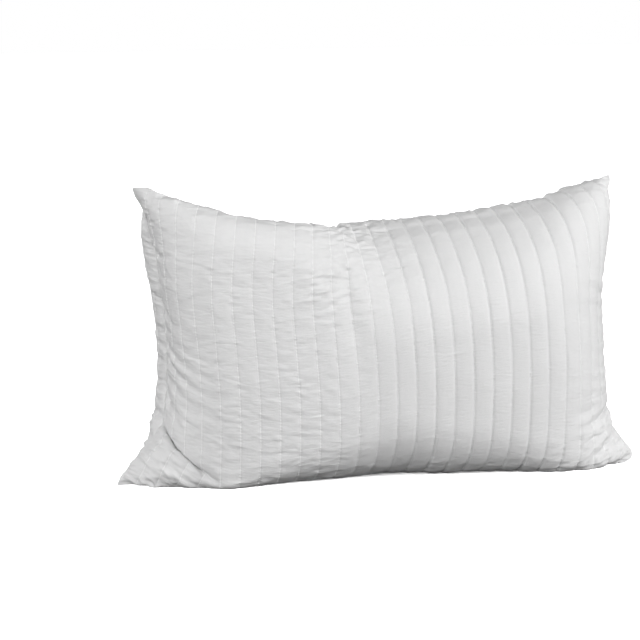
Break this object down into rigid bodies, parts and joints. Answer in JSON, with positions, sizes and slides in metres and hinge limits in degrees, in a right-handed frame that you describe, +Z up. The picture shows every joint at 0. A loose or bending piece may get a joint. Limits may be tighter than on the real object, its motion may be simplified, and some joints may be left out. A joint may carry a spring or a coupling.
{
  "type": "bed pillow",
  "caption": "Rectangular bed pillow with upright stitched channels on both faces, a knife-edge seam and loose fibre fill, standing on its long edge.",
  "frame": {"origin": "on the resting surface, under the middle of the standing pillow", "axes": "+X along the pillow's length, -Y out of the front face, +Z up; the pillow stands on its long edge"},
  "size_m": [0.71, 0.2206, 0.393],
  "materials": {
    "face_cotton": "satin",
    "wadding": "matte",
    "backing": "matte",
    "sewing_thread": "satin",
    "fibre_fill": "matte",
    "label_tape": "satin"
  },
  "bodies": {
    "root": {"front_face_fabric": "face_cotton", "front_wadding": "wadding", "front_backing": "backing", "front_quilting_thread": "sewing_thread", "back_face_fabric": "face_cotton", "back_wadding": "wadding", "back_backing": "backing", "back_quilting_thread": "sewing_thread", "fibre_fill": "fibre_fill", "seam_thread": "sewing_thread", "closing_thread": "sewing_thread", "care_label": "label_tape"}
  },
  "joints": []
}
